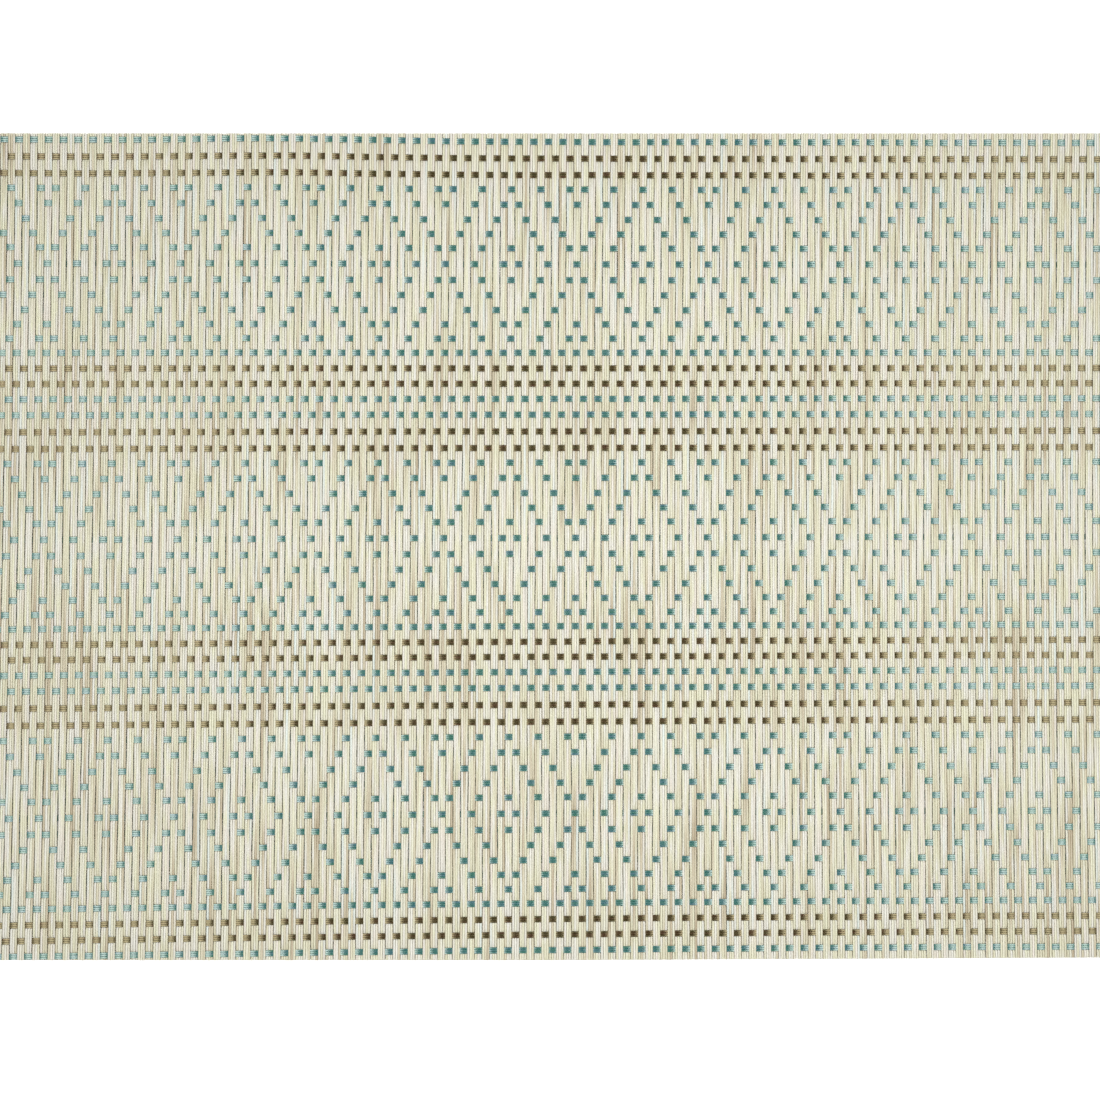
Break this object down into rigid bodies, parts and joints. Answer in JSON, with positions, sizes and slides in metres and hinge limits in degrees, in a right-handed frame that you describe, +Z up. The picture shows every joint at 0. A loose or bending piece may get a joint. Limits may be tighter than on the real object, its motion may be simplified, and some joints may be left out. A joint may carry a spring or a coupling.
{
  "type": "woven placemat",
  "caption": "Flat rectangular table mat woven from flat bundles of vinyl strands, cream warp over teal and brown weft in dotted zigzag bands and narrow stripes.",
  "frame": {"origin": "middle of the flat underside, where the mat rests on a table", "axes": "+X across the warp along the long side, +Y along the warp away from the diner's edge, +Z up out of the face"},
  "size_m": [0.45, 0.33, 0.0015],
  "materials": {
    "cream_warp": "satin",
    "teal_weft": "satin",
    "brown_weft": "satin"
  },
  "bodies": {
    "root": {"placemat": "cream_warp"}
  },
  "joints": []
}
